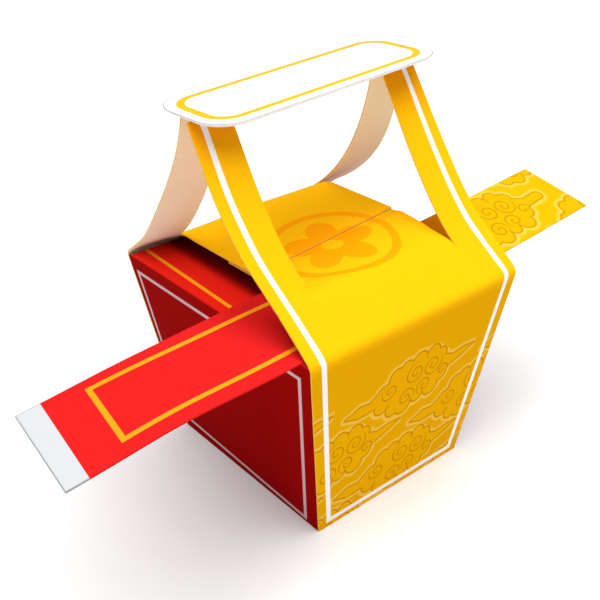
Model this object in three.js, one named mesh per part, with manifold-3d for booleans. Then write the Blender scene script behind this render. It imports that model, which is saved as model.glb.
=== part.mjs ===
// A shut takeaway box for noodles, folded from thin card, in millimetres with +Z up.
// A red tapered body stands on its base. Two yellow sheets, one on the near wall (-Y) and one on the
// far wall (+Y), run up the wall, roll over the top fold and divide: the middle of each becomes a
// tongue that arches over the top, and its two edges become straps that lean together under a white
// handle plate. A long loose belt lies across the top, under the tongues and the sheets' shoulders.
// The origin is at the middle of the base.
import * as THREE from "three";
import { mergeVertices } from "three/addons/utils/BufferGeometryUtils.js";
import Module from "manifold-3d";

const wasm = await Module();
wasm.setup();

// Card
const CARD = 0.6; // thickness of every sheet
const GAP = 0.3; // clearance between sheets that lie on each other

// Body: a tapered box. X runs along the yellow walls and Y along the red ones.
const BOX_HEIGHT = 100;
const TOP_HALF_X = 60.2;
const TOP_HALF_Y = 65.7;
const BASE_HALF_X = 44.8;
const BASE_HALF_Y = 52.5;
const BODY_TOP = BOX_HEIGHT - 0.2; // the red top flaps lie just below the fold line
const FLAP_FOLD_REACH = 2.6; // how far the red fold's rounding reaches from its corner
const BODY_EDGE_CUT = 4.5; // slant under the yellow sheets' rolled fold

// Handle plate
const PLATE_LENGTH = 125;
const PLATE_WIDTH = 45.4;
const PLATE_CORNER = 14.6;
const PLATE_CENTRE = { x: 0.6, y: 7.6, z: 181.6 };
const PLATE_YAW = THREE.MathUtils.degToRad(1.6);
const PLATE_ROLL = THREE.MathUtils.degToRad(3.1); // the right end stands higher
const NOTCH_LENGTH = 7.5; // slit at each end where the plate locks
const NOTCH_WIDTH = 0.7;
const NOTCH_OFFSET = -1.3; // where the slits lie across the plate, from its long axis
const UNDER_INSET = 1.2; // the lower layer is this much smaller all round

// Yellow sheets, as distances out from the box's middle plane and heights
const ROLL_REACH = 3; // rounding of the rolled top fold
const SHOULDER_SLOPE = 0.66; // rise of the shoulder for each millimetre inwards from the fold
const NEAR_CROTCH = 46.5; // where the cuts between the straps and the tongue begin
const FAR_CROTCH = 51;
const NEAR_BEND = 37.5; // the near straps turn up in a soft bend round this place
const NEAR_BEND_REACH = 20; // where the bend ends, up the strap from that place
const FAR_CURVE = { start: 19, end: 36, lean: 82 }; // the far straps curve all the way up
const STRAP_WIDTH = 19.7;
const STRAP_TOP = PLATE_CENTRE.z + 0.5; // their height before they are trimmed under the plate
const STRAP_TOP_OUT = 1.2; // each pair of straps ends this far from the plate's long axis
const SLIT = 0.6; // cut between a strap and its tongue
const LEAN = 1.6; // the near left strap stands further out by this
const LEAN_HEIGHT = 132; // and does so from this height up

// Real card lies unevenly. Pairs of x and millimetres, with straight lines in between: how much
// higher the sheet lies where its cuts begin, and how far its straps bow out on their way up.
const NEAR_LIFT = [[-60, 2.6], [-40, 0], [0, 0], [40, -1.9], [60, 2.2]];
const FAR_LIFT = [[-60, 1.4], [-40, -2.4], [0, 0], [60, 0]];
const NEAR_BOW = [[-60, -4.4], [-40, -2.5], [40, -1.6], [60, -0.8]];
const FAR_BOW = [[-60, 4.2], [-40, 1.3], [40, -1.3], [60, -4.2]];
const NEAR_BOW_PEAK = 1; // power of the rise: 1 bows most halfway up, less than 1 bows lower down
const FAR_BOW_PEAK = 0.5;

// Tongues
const TONGUE_HALF = TOP_HALF_X - STRAP_WIDTH - SLIT; // half its width
const TONGUE_HEIGHT = 112.8; // top of the arch, at its middle
const TONGUE_TILT = 3.8; // its right edge stands this much higher and its left edge lower
const NEAR_TILT_REACH = 30; // it has tilted so at this distance from the crotch
const FAR_TILT_REACH = 16;
const TONGUE_FLAT_OUT = 26; // where the arch has become level
const NEAR_TONGUE_END = -12; // past the middle plane, tucked under the far tongue
const FAR_TONGUE_END = -6.5; // past the middle plane, free on top of the near tongue
const TUCK_OUT = 13.5; // where the near tongue begins to dive under the far one
const TUCK_LENGTH = 6;
const TUCK = CARD + GAP; // how deep it dives

// Belt: a long quadrilateral strip, its four corners seen from above
const BELT_HEIGHT = BOX_HEIGHT + 0.2;
const BELT_CORNERS = [
  [-160.5, -68.6],
  [140.5, -46.2],
  [157.8, 5.2],
  [-155.5, -22.4],
];
// Each rise lifts the belt around one x, by so much at its near edge and at its far edge
const BELT_RISES = [
  { x: -115, spread: 32, nearBy: 2, farBy: 1.3 },
  { x: -52, spread: 50, nearBy: 0, farBy: 2.4 },
  { x: 160, spread: 50, nearBy: 1.2, farBy: 1.2 },
];

// Steps round curves and across sheets
const FOLD_STEPS = 7;
const CURVE_STEPS = 12;
const TONGUE_ACROSS = 8;
const CORNER_STEPS = 10;
const BELT_STEPS = 24;
const BELT_ACROSS = 3;

const YELLOW = new THREE.Color(0.96, 0.72, 0.03);
const RED = new THREE.Color(0.78, 0.03, 0.03);
const WHITE = new THREE.Color(0.94, 0.94, 0.95);

function solidOf(geometry) {
  const bare = geometry.index ? geometry.toNonIndexed() : geometry.clone();
  bare.deleteAttribute("normal");
  bare.deleteAttribute("uv");
  const merged = mergeVertices(bare, 1e-4);
  return new wasm.Manifold(
    new wasm.Mesh({
      numProp: 3,
      vertProperties: new Float32Array(merged.attributes.position.array),
      triVerts: new Uint32Array(merged.index.array),
    }),
  );
}

function geometryOf(solid) {
  const mesh = solid.getMesh();
  const geometry = new THREE.BufferGeometry();
  geometry.setAttribute("position", new THREE.BufferAttribute(mesh.vertProperties, 3));
  geometry.setIndex(new THREE.BufferAttribute(mesh.triVerts, 1));
  geometry.computeVertexNormals();
  return geometry;
}

function card(name, solid, color) {
  const material = new THREE.MeshStandardMaterial({ color, roughness: 0.45, metalness: 0 });
  const mesh = new THREE.Mesh(geometryOf(solid), material);
  mesh.name = name;
  return mesh;
}

// A prism along Y from an outline in X and Z, or along X from an outline in Y and Z.
function prismAlongY(shape, length) {
  const geometry = new THREE.ExtrudeGeometry(shape, {
    depth: length,
    bevelEnabled: false,
    curveSegments: FOLD_STEPS,
  });
  return geometry.translate(0, 0, -length / 2).rotateX(Math.PI / 2);
}

function prismAlongX(shape, length) {
  return prismAlongY(shape, length).rotateZ(Math.PI / 2);
}

// Stations along a profile whose points are (out, height): places on the outer face of a sheet, each
// with the outward normal there. A straight run needs one step and a curve needs several.
function stationsAlong(path) {
  const stations = [];
  for (const curve of path.curves) {
    const steps = curve.isLineCurve ? 1 : CURVE_STEPS;
    for (let i = stations.length ? 1 : 0; i <= steps; i += 1) {
      const tangent = curve.getTangent(i / steps);
      stations.push({
        point: curve.getPoint(i / steps),
        normal: new THREE.Vector2(tangent.y, -tangent.x),
      });
    }
  }
  return stations;
}

// Faces of a patch of a sheet's outer side, three places to a face. columns gives the places' x along
// a station, and warp moves a place (x, out, height). side is 1 on the near wall and -1 on the far one.
function patch(stations, side, columns, warp) {
  const rows = stations.map(({ point, normal }) =>
    columns(point).map((column) => {
      const x = side * column;
      const moved = warp(x, point);
      const at = (depth) =>
        new THREE.Vector3(
          x + moved.x,
          -side * (point.x - normal.x * depth + moved.out),
          point.y - normal.y * depth + moved.z,
        );
      const outer = at(0);
      const key = outer.toArray().map((value) => value.toFixed(3));
      return { outer, inner: at(CARD), key: key.join() };
    }),
  );
  const faces = [];
  for (let j = 1; j < rows.length; j += 1) {
    for (let i = 1; i < rows[j].length; i += 1) {
      const [low, high] = [rows[j - 1], rows[j]];
      faces.push([low[i - 1], low[i], high[i]], [low[i - 1], high[i], high[i - 1]]);
    }
  }
  return faces;
}

// A solid card behind these outer faces, closed along every edge that no other face shares
function solidCard(faces) {
  const places = new Map();
  const edges = new Map();
  const corners = [];
  for (const face of faces.map((loose) => loose.map(shared))) {
    corners.push(...face.map((place) => place.outer));
    corners.push(...face.toReversed().map((place) => place.inner));
    face.forEach((from, i) => {
      const to = face[(i + 1) % face.length];
      edges.set(`${from.key} ${to.key}`, [from, to]);
    });
  }
  for (const [from, to] of edges.values()) {
    if (edges.has(`${to.key} ${from.key}`)) continue;
    corners.push(to.outer, from.outer, from.inner, to.outer, from.inner, to.inner);
  }
  return solidOf(new THREE.BufferGeometry().setFromPoints(corners));

  function shared(place) {
    if (!places.has(place.key)) places.set(place.key, place);
    return places.get(place.key);
  }
}

// The body, with its red walls, rounded red folds and flat top of tucked flaps
function makeBody() {
  const sheet = CARD + GAP;
  const lean = (TOP_HALF_X - BASE_HALF_X) / BOX_HEIGHT;
  const redEnds = new THREE.Shape();
  redEnds.moveTo(-BASE_HALF_X, 0);
  redEnds.lineTo(BASE_HALF_X, 0);
  redEnds.lineTo(TOP_HALF_X - lean * FLAP_FOLD_REACH, BODY_TOP - FLAP_FOLD_REACH);
  redEnds.quadraticCurveTo(TOP_HALF_X, BODY_TOP, TOP_HALF_X - FLAP_FOLD_REACH, BODY_TOP);
  redEnds.lineTo(-TOP_HALF_X + FLAP_FOLD_REACH, BODY_TOP);
  redEnds.quadraticCurveTo(
    -TOP_HALF_X, BODY_TOP, -TOP_HALF_X + lean * FLAP_FOLD_REACH, BODY_TOP - FLAP_FOLD_REACH,
  );
  redEnds.closePath();

  const slope = (TOP_HALF_Y - BASE_HALF_Y) / BOX_HEIGHT;
  const cutHeight = BODY_TOP - BODY_EDGE_CUT;
  const cutOut = BASE_HALF_Y + slope * cutHeight - sheet;
  const yellowEnds = new THREE.Shape();
  yellowEnds.moveTo(-BASE_HALF_Y + sheet, 0);
  yellowEnds.lineTo(BASE_HALF_Y - sheet, 0);
  yellowEnds.lineTo(cutOut, cutHeight);
  yellowEnds.lineTo(cutOut - BODY_EDGE_CUT / 2, BODY_TOP);
  yellowEnds.lineTo(-cutOut + BODY_EDGE_CUT / 2, BODY_TOP);
  yellowEnds.lineTo(-cutOut, cutHeight);
  yellowEnds.closePath();

  const alongY = solidOf(prismAlongY(redEnds, 4 * TOP_HALF_Y));
  const alongX = solidOf(prismAlongX(yellowEnds, 4 * TOP_HALF_X));
  return alongY.intersect(alongX);
}

// The value at x in pairs that are sorted by x
function between(pairs, x) {
  const next = pairs.findIndex(([at]) => at > x);
  if (next < 1) return pairs.at(next)[1];
  const [[low, from], [high, to]] = pairs.slice(next - 1, next + 1);
  return THREE.MathUtils.mapLinear(x, low, high, from, to);
}

function shoulderHeight(out) {
  return BOX_HEIGHT + (TOP_HALF_Y - out) * SHOULDER_SLOPE;
}

// Plane on the underside of the handle plate, as a block that trims the strap ends
function trimBlock() {
  const size = 4 * PLATE_LENGTH;
  const block = new THREE.BoxGeometry(size, size, size);
  block.translate(0, 0, size / 2 - (1.5 * CARD + 2 * GAP));
  return solidOf(placePlate(block));
}

function placePlate(geometry) {
  return geometry
    .rotateY(-PLATE_ROLL)
    .rotateZ(PLATE_YAW)
    .translate(PLATE_CENTRE.x, PLATE_CENTRE.y, PLATE_CENTRE.z);
}

// Wall, rolled fold and shoulder
function wallStations(crotch) {
  const fold = new THREE.Vector2(TOP_HALF_Y, BOX_HEIGHT);
  const foot = new THREE.Vector2(BASE_HALF_Y, 0);
  const before = foot.clone().sub(fold).setLength(ROLL_REACH).add(fold);
  const afterOut = TOP_HALF_Y - ROLL_REACH;
  const path = new THREE.Path();
  path.moveTo(foot.x, foot.y);
  path.lineTo(before.x, before.y);
  path.quadraticCurveTo(fold.x, fold.y, afterOut, shoulderHeight(afterOut));
  path.lineTo(crotch, shoulderHeight(crotch));
  return stationsAlong(path);
}

function pathFromCrotch(crotch) {
  return new THREE.Path().moveTo(crotch, shoulderHeight(crotch));
}

// The near straps bend softly after the crotch and run to the plate. Their upper part is drawn as a
// curve with its middle control on the line, which gives it the steps it needs to bow later.
function nearStrapStations() {
  const path = pathFromCrotch(NEAR_CROTCH);
  const bend = new THREE.Vector2(NEAR_BEND, shoulderHeight(NEAR_BEND));
  const top = new THREE.Vector2(STRAP_TOP_OUT - PLATE_CENTRE.y, STRAP_TOP);
  const after = top.clone().sub(bend).setLength(NEAR_BEND_REACH).add(bend);
  path.quadraticCurveTo(bend.x, bend.y, after.x, after.y);
  const middle = after.clone().lerp(top, 0.5);
  path.quadraticCurveTo(middle.x, middle.y, top.x, top.y);
  return stationsAlong(path);
}

// The far straps bow: they leave along the shoulder and reach the plate almost upright
function farStrapStations() {
  const path = pathFromCrotch(FAR_CROTCH);
  const from = new THREE.Vector2(FAR_CROTCH, shoulderHeight(FAR_CROTCH));
  const top = new THREE.Vector2(STRAP_TOP_OUT + PLATE_CENTRE.y, STRAP_TOP);
  const leave = new THREE.Vector2(-1, SHOULDER_SLOPE).setLength(FAR_CURVE.start).add(from);
  const lean = THREE.MathUtils.degToRad(FAR_CURVE.lean);
  const arrive = new THREE.Vector2(Math.cos(lean), -Math.sin(lean));
  arrive.multiplyScalar(FAR_CURVE.end).add(top);
  path.bezierCurveTo(leave.x, leave.y, arrive.x, arrive.y, top.x, top.y);
  return stationsAlong(path);
}

// A tongue levels out after the crotch, and a tucked one dives before its free end
function tongueStations(crotch, end, tuck) {
  const path = pathFromCrotch(crotch);
  path.bezierCurveTo(
    crotch - 5, shoulderHeight(crotch - 5), TONGUE_FLAT_OUT + 9, TONGUE_HEIGHT,
    TONGUE_FLAT_OUT, TONGUE_HEIGHT,
  );
  path.lineTo(TUCK_OUT, TONGUE_HEIGHT);
  const low = TONGUE_HEIGHT - tuck;
  const dived = TUCK_OUT - TUCK_LENGTH;
  const middle = TUCK_OUT - TUCK_LENGTH / 2;
  path.bezierCurveTo(middle, TONGUE_HEIGHT, middle, low, dived, low);
  path.lineTo(end, low);
  return stationsAlong(path);
}

// One yellow sheet: wall, rolled fold, shoulder, two straps and a tongue, all one piece of card
function makeSheet({
  side, crotch, strapStations, lift, lean, bow, bowPeak, tiltReach, tongueEnd, tuck,
}) {
  const { smoothstep, lerp } = THREE.MathUtils;
  const low = shoulderHeight(crotch);
  const inner = TOP_HALF_X - STRAP_WIDTH;
  const leftStrap = [-TOP_HALF_X, -inner];
  const rightStrap = [inner, TOP_HALF_X];
  const tongue = [];
  for (let i = 0; i <= TONGUE_ACROSS; i += 1) {
    tongue.push(lerp(-TONGUE_HALF, TONGUE_HALF, i / TONGUE_ACROSS));
  }
  const taper = (point) => {
    const share = Math.min(point.y / BOX_HEIGHT, 1);
    return lerp(BASE_HALF_X / TOP_HALF_X, 1, share);
  };
  const wall = (point) => [...leftStrap, ...tongue, ...rightStrap].map((x) => x * taper(point));

  const wallWarp = (x, point) => ({
    x: 0,
    out: 0,
    z: between(lift, x) * smoothstep(point.y, BOX_HEIGHT, low),
  });
  const strapWarp = (x, point) => {
    const rise = smoothstep(point.y, low, STRAP_TOP);
    return {
      x: x < 0 ? -lean * smoothstep(point.y, low, LEAN_HEIGHT) : 0,
      out: between(bow, x) * Math.sin(Math.PI * rise ** bowPeak),
      z: between(lift, x) * (1 - rise),
    };
  };
  const tongueWarp = (x, point) => {
    const free = smoothstep(crotch - point.x, 0, tiltReach);
    return { x: 0, out: 0, z: lerp(between(lift, x), (x * TONGUE_TILT) / TONGUE_HALF, free) };
  };
  return solidCard([
    ...patch(wallStations(crotch), side, wall, wallWarp),
    ...patch(strapStations(), side, () => leftStrap, strapWarp),
    ...patch(strapStations(), side, () => rightStrap, strapWarp),
    ...patch(tongueStations(crotch, tongueEnd, tuck), side, () => tongue, tongueWarp),
  ]).subtract(trimBlock());
}

// Rounded outline of the plate
function plateOutline(length, width, corner) {
  const shape = new THREE.Shape();
  const x = length / 2 - corner;
  const y = width / 2 - corner;
  const quarter = Math.PI / 2;
  shape.absarc(x, y, corner, 0, quarter);
  shape.absarc(-x, y, corner, quarter, 2 * quarter);
  shape.absarc(-x, -y, corner, 2 * quarter, 3 * quarter);
  shape.absarc(x, -y, corner, 3 * quarter, 4 * quarter);
  shape.closePath();
  return shape;
}

function plateLayer(inset, height) {
  const shape = plateOutline(
    PLATE_LENGTH - 2 * inset,
    PLATE_WIDTH - 2 * inset,
    PLATE_CORNER - inset,
  );
  const geometry = new THREE.ExtrudeGeometry(shape, {
    depth: CARD,
    bevelEnabled: false,
    curveSegments: CORNER_STEPS,
  });
  return geometry.translate(0, 0, height);
}

function makePlate() {
  let plate = solidOf(placePlate(plateLayer(0, -CARD / 2)));
  for (const end of [-1, 1]) {
    const notch = new THREE.BoxGeometry(2 * NOTCH_LENGTH, NOTCH_WIDTH, 6 * CARD);
    notch.translate((end * PLATE_LENGTH) / 2, NOTCH_OFFSET, 0);
    plate = plate.subtract(solidOf(placePlate(notch)));
  }
  return plate;
}

function makeUnderPlate() {
  return solidOf(placePlate(plateLayer(UNDER_INSET, -1.5 * CARD - GAP)));
}

// The belt is level apart from its rises
function makeBelt() {
  const geometry = new THREE.BoxGeometry(1, 1, CARD, BELT_STEPS, BELT_ACROSS, 1);
  geometry.translate(0.5, 0.5, CARD / 2 + BELT_HEIGHT);
  const [nearLeft, nearRight, farRight, farLeft] = BELT_CORNERS.map(
    ([x, y]) => new THREE.Vector2(x, y),
  );
  const position = geometry.attributes.position;
  for (let i = 0; i < position.count; i += 1) {
    const along = position.getX(i);
    const across = position.getY(i);
    const near = nearLeft.clone().lerp(nearRight, along);
    const at = near.lerp(farLeft.clone().lerp(farRight, along), across);
    let height = position.getZ(i);
    for (const { x, spread, nearBy, farBy } of BELT_RISES) {
      const fade = Math.exp(-(((at.x - x) / spread) ** 2));
      height += THREE.MathUtils.lerp(nearBy, farBy, across) * fade;
    }
    position.setXYZ(i, at.x, at.y, height);
  }
  return solidOf(geometry);
}

const nearSheet = makeSheet({
  side: 1,
  crotch: NEAR_CROTCH,
  strapStations: nearStrapStations,
  lift: NEAR_LIFT,
  lean: LEAN,
  bow: NEAR_BOW,
  bowPeak: NEAR_BOW_PEAK,
  tiltReach: NEAR_TILT_REACH,
  tongueEnd: NEAR_TONGUE_END,
  tuck: TUCK,
});
const farSheet = makeSheet({
  side: -1,
  crotch: FAR_CROTCH,
  strapStations: farStrapStations,
  lift: FAR_LIFT,
  lean: 0,
  bow: FAR_BOW,
  bowPeak: FAR_BOW_PEAK,
  tiltReach: FAR_TILT_REACH,
  tongueEnd: FAR_TONGUE_END,
  tuck: 0,
});

const box = new THREE.Group();
box.add(
  card("box_body", makeBody(), RED),
  card("near_sheet", nearSheet, YELLOW),
  card("far_sheet", farSheet, YELLOW),
  card("belt_strip", makeBelt(), RED),
  card("handle_plate", makePlate(), WHITE),
  card("handle_under_plate", makeUnderPlate(), WHITE),
);

export default box;
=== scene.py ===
# %% [markdown]
# # A shut takeaway box for noodles
#
# The real object is a small carton folded from thin printed board. A red tapered box stands on its
# base. Two yellow sheets run up its near and far walls, roll over the top and divide into a tongue,
# which arches over the box, and two straps, which lean together under a white handle plate. A long
# loose belt lies across the top, red with an orange frame at one end and yellow with clouds at the
# other.
#
# Almost everything here is thin board. It could be cut from solid blocks, but a bend in board is
# drawn far more easily as a line. So the way is the same for each sheet: draw one edge, extrude it
# along the path that the board takes, and only then give it a thickness. The print comes last, as
# maths in the material, so that every line stays sharp.

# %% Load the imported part
import math

import bmesh
import bpy
import numpy as np
from mathutils import Matrix, Vector


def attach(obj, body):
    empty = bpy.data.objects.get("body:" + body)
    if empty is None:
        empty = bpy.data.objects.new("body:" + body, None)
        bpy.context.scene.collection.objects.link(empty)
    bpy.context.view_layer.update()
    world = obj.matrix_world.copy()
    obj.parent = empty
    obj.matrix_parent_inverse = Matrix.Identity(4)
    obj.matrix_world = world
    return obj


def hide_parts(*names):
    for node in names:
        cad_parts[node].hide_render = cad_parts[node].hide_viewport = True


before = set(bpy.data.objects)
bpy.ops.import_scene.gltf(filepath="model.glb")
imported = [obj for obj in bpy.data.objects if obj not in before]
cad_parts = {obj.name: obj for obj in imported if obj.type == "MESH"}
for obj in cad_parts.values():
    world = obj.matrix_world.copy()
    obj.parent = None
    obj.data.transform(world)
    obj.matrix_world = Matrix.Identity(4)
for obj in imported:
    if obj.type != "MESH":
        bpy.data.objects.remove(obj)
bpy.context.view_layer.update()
MM = 0.001
print("packed pieces:", sorted(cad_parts))

# %% [markdown]
# ## Sizes
#
# A carton is drawn flat for the printer before it is folded. The sizes here are those of the folded
# box, because that is what can be seen and measured: heights and distances in millimetres. X runs
# along the yellow walls, Y along the red ones, and Z is up. `out` is the distance from the middle
# plane between the two yellow walls, so both sheets share one drawing.

# %% Sizes of the box and its sheets
BOARD = 0.6
GAP = 0.3
BOX_HEIGHT = 100
TOP_HALF_X, TOP_HALF_Y = 60.2, 65.7
BASE_HALF_X, BASE_HALF_Y = 44.8, 52.5
ROLL_REACH = 3
SHOULDER_SLOPE = 0.66
NEAR_CROTCH, FAR_CROTCH = 46.5, 51
STRAP_WIDTH = 19.7
STRAP_INNER = TOP_HALF_X - STRAP_WIDTH
print("straps", STRAP_WIDTH, "mm wide, walls", 2 * TOP_HALF_X, "mm wide at the top")

# %% Sizes of the tongues and the handle plate
TONGUE_HALF = STRAP_INNER - 0.15
TONGUE_HEIGHT = 112.8
TONGUE_TILT = 3.8
FLAT_OUT = 26
TUCK_OUT, TUCK_LENGTH, TUCK = 13.5, 6, BOARD + GAP
NEAR_TONGUE_END, FAR_TONGUE_END = -12, -6.5
PLATE_LENGTH, PLATE_WIDTH, PLATE_CORNER = 125, 45.4, 14.6
PLATE_CENTRE = Vector((0.6, 7.6, 181.6))
PLATE_YAW, PLATE_ROLL = math.radians(1.6), math.radians(3.1)
STRAP_TOP = PLATE_CENTRE.z + 0.5
STRAP_TOP_OUT = 1.2
print("tongues", round(2 * TONGUE_HALF, 1), "mm wide, plate", PLATE_LENGTH, "mm long")

# %% [markdown]
# ## Modelling helpers
#
# By hand, a modeller clicks on what the next tool is to act on. A script could build meshes from
# lists of numbers instead, but operators keep the steps that a hand would take. They act on what is
# selected, so one helper selects vertices, edges or faces by the place of their centre, in
# millimetres, and another starts a piece from a primitive and enters edit mode.


# %% Start a piece and select parts of it
def activate(piece):
    bpy.ops.object.select_all(action="DESELECT")
    piece.select_set(True)
    bpy.context.view_layer.objects.active = piece


def start(name, primitive, **settings):
    bpy.ops.object.select_all(action="DESELECT")
    primitive(**settings)
    piece = bpy.context.object
    piece.name = piece.data.name = name
    bpy.ops.object.mode_set(mode="EDIT")
    return piece


def centre_of(element):
    if isinstance(element, bmesh.types.BMVert):
        return element.co / MM
    return sum((v.co for v in element.verts), Vector()) / len(element.verts) / MM


def select(kind, test):
    bpy.ops.mesh.select_mode(type=kind)
    bpy.ops.mesh.select_all(action="DESELECT")
    mesh = bpy.context.object.data
    edit = bmesh.from_edit_mesh(mesh)
    elements = {"VERT": edit.verts, "EDGE": edit.edges, "FACE": edit.faces}[kind]
    for element in elements:
        if test(centre_of(element)):
            element.select_set(True)
    edit.select_flush_mode()
    bmesh.update_edit_mesh(mesh)


print("selecting by place, in steps of", MM, "m")


# %% Finish a piece
def face_one_way(piece, is_inside_out):
    """Merge doubles and make all faces look the same way, which is then turned round if wrong."""
    activate(piece)
    bpy.ops.object.mode_set(mode="EDIT")
    bpy.ops.mesh.select_all(action="SELECT")
    bpy.ops.mesh.remove_doubles(threshold=0.01 * MM)
    bpy.ops.mesh.normals_make_consistent(inside=False)
    bpy.ops.object.mode_set(mode="OBJECT")
    if is_inside_out(piece.data.polygons):
        bpy.ops.object.mode_set(mode="EDIT")
        bpy.ops.mesh.flip_normals()
        bpy.ops.object.mode_set(mode="OBJECT")


def apply_modifier(piece, kind, **settings):
    modifier = piece.modifiers.new(kind, kind)
    for key, value in settings.items():
        setattr(modifier, key, value)
    bpy.context.view_layer.objects.active = piece
    bpy.ops.object.modifier_apply(modifier=modifier.name)


def finish_piece(piece, node, angle=35):
    activate(piece)
    bpy.ops.object.transform_apply(location=True, rotation=True, scale=True)
    bpy.ops.object.shade_smooth_by_angle(angle=math.radians(angle))
    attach(piece, "root")
    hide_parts(node)
    print(piece.name, len(piece.data.polygons), "faces")


# %% [markdown]
# ## Red body
#
# The real body is one board folded into a tapered box, with soft folds along the tops of its red
# walls. Its inside can't be seen, so it needn't be folded from a sheet here. It begins as a cube:
# the bottom face is pressed smaller, the two red folds are bevelled round, and the other two top
# edges are cut back, because there the yellow board rolls over.

# %% Red body
body = start("red_body", bpy.ops.mesh.primitive_cube_add, size=1)
bpy.ops.mesh.select_all(action="SELECT")
INSIDE = BOARD + GAP
BODY_TOP = BOX_HEIGHT - 0.2
body_size = (2 * TOP_HALF_X * MM, 2 * (TOP_HALF_Y - INSIDE) * MM, BODY_TOP * MM)
bpy.ops.transform.resize(value=body_size)
bpy.ops.transform.translate(value=(0, 0, body_size[2] / 2))
select("FACE", lambda c: c.z < 1)
base_scale = (BASE_HALF_X / TOP_HALF_X, (BASE_HALF_Y - INSIDE) / (TOP_HALF_Y - INSIDE), 1)
bpy.ops.transform.resize(value=base_scale)
print("pressed to", tuple(round(share, 2) for share in base_scale), "at the base")

# %% Folds and edges of the body
FOLD_ROUND, CUT_BACK, CORNER_ROUND = 2.4, 3.4, 0.5
select("EDGE", lambda c: c.z > BODY_TOP - 0.8 and abs(c.x) > 30)
bpy.ops.mesh.bevel(offset=FOLD_ROUND * MM, segments=8)
select("EDGE", lambda c: c.z > BODY_TOP - 0.8 and abs(c.y) > 60)
bpy.ops.mesh.bevel(offset=CUT_BACK * MM, segments=1)
select("EDGE", lambda c: 2 < c.z < 95 and abs(c.x) > 30 and abs(c.y) > 30)
bpy.ops.mesh.bevel(offset=CORNER_ROUND * MM, segments=3)
bpy.ops.object.mode_set(mode="OBJECT")
finish_piece(body, "box_body")

# %% [markdown]
# ## The path of a yellow sheet
#
# Seen from the side, a real sheet is a line: up the wall, round the soft fold, along the rising
# shoulder and then either up a strap or along a tongue. It could be a curve object, but the sheet
# must widen and split on its way, so the path is kept as a list of points instead. Runs that stay
# straight need no points between their ends, and curves get a dozen or so.


# %% Curves and the wall
def curve(*controls, steps=12):
    """Points along a Bezier curve, without its first one."""
    points = []
    for i in range(1, steps + 1):
        level = [Vector(c) for c in controls]
        while len(level) > 1:
            level = [a.lerp(b, i / steps) for a, b in zip(level, level[1:])]
        points.append(level[0])
    return points


def shoulder(out):
    return Vector((out, BOX_HEIGHT + (TOP_HALF_Y - out) * SHOULDER_SLOPE))


def wall_path(crotch):
    foot, fold = Vector((BASE_HALF_Y, 0)), Vector((TOP_HALF_Y, BOX_HEIGHT))
    before = fold + (foot - fold).normalized() * ROLL_REACH
    after = shoulder(TOP_HALF_Y - ROLL_REACH)
    return [foot, before, *curve(before, fold, after), shoulder(crotch)]


print("the shoulder ends", round(shoulder(NEAR_CROTCH).y, 1), "mm up on the near sheet")


# %% Straps and tongues
def near_strap_path(crotch, bend_out=37.5, bend_reach=20, straight_steps=10):
    """A soft bend, then straight to the plate, with steps so that it can bow later."""
    bend, top = shoulder(bend_out), Vector((STRAP_TOP_OUT - PLATE_CENTRE.y, STRAP_TOP))
    after = bend + (top - bend).normalized() * bend_reach
    straight = [after.lerp(top, step / straight_steps) for step in range(1, straight_steps + 1)]
    return [shoulder(crotch), *curve(shoulder(crotch), bend, after), *straight]


def far_strap_path(crotch, leaving=19, arriving=36, lean=math.radians(82)):
    """One long curve that leaves along the shoulder and arrives almost upright."""
    top = Vector((STRAP_TOP_OUT + PLATE_CENTRE.y, STRAP_TOP))
    leave = shoulder(crotch) + Vector((-1, SHOULDER_SLOPE)).normalized() * leaving
    arrive = top + Vector((math.cos(lean), -math.sin(lean))) * arriving
    return [shoulder(crotch), *curve(shoulder(crotch), leave, arrive, top, steps=20)]


def tongue_path(crotch, end, tuck, leaving=5, arriving=9):
    """Up from the crotch, level over the middle, and down by the tuck before the free end."""
    level, low = Vector((FLAT_OUT, TONGUE_HEIGHT)), TONGUE_HEIGHT - tuck
    leave, arrive = shoulder(crotch - leaving), level + Vector((arriving, 0))
    rising = curve(shoulder(crotch), leave, arrive, level, steps=16)
    begin, end_of_dive = Vector((TUCK_OUT, TONGUE_HEIGHT)), TUCK_OUT - TUCK_LENGTH
    middle = TUCK_OUT - TUCK_LENGTH / 2
    dive = curve(begin, (middle, TONGUE_HEIGHT), (middle, low), (end_of_dive, low), steps=8)
    return [shoulder(crotch), *rising, begin, *dive, Vector((end, low))]


rise = near_strap_path(NEAR_CROTCH)
print("the near strap rises through", [tuple(round(v, 1) for v in p) for p in rise[::5]])

# %% [markdown]
# ## Yellow sheets
#
# Each real sheet is one board whose two cuts free the tongue from the straps. Here a row of edges
# along the wall's foot is extruded from point to point of the path, and widened as the wall widens.
# At the crotch the row is split: the two outer stretches go up as straps and the middle one goes on
# as the tongue. This keeps wall, straps and tongue one mesh without a seam.
#
# While the sheet is still straight across, its UV map is laid out like flat board: u across and v
# along the path, 100 mm to a unit. The print is drawn on that map.

# %% Columns across a sheet
COLUMNS = [TOP_HALF_X - STRAP_WIDTH * share / 3 for share in range(4)]
COLUMNS += [TONGUE_HALF * share / 4 for share in (4, 3, 2, 1)]
print(len(COLUMNS) * 2 + 1, "columns across a sheet")


# %% Extrude along a path
def wall_half(height):
    return BASE_HALF_X + (TOP_HALF_X - BASE_HALF_X) * min(height / BOX_HEIGHT, 1)


def extrude_along(path, side):
    for low, high in zip(path, path[1:]):
        step = (high - low) * MM
        bpy.ops.mesh.extrude_region_move(
            TRANSFORM_OT_translate={"value": (0, -side * step.x, step.y)}
        )
        widen = wall_half(high.y) / wall_half(low.y)
        if widen > 1:
            bpy.ops.transform.resize(value=(widen, 1, 1), center_override=(0, 0, 0))


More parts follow.
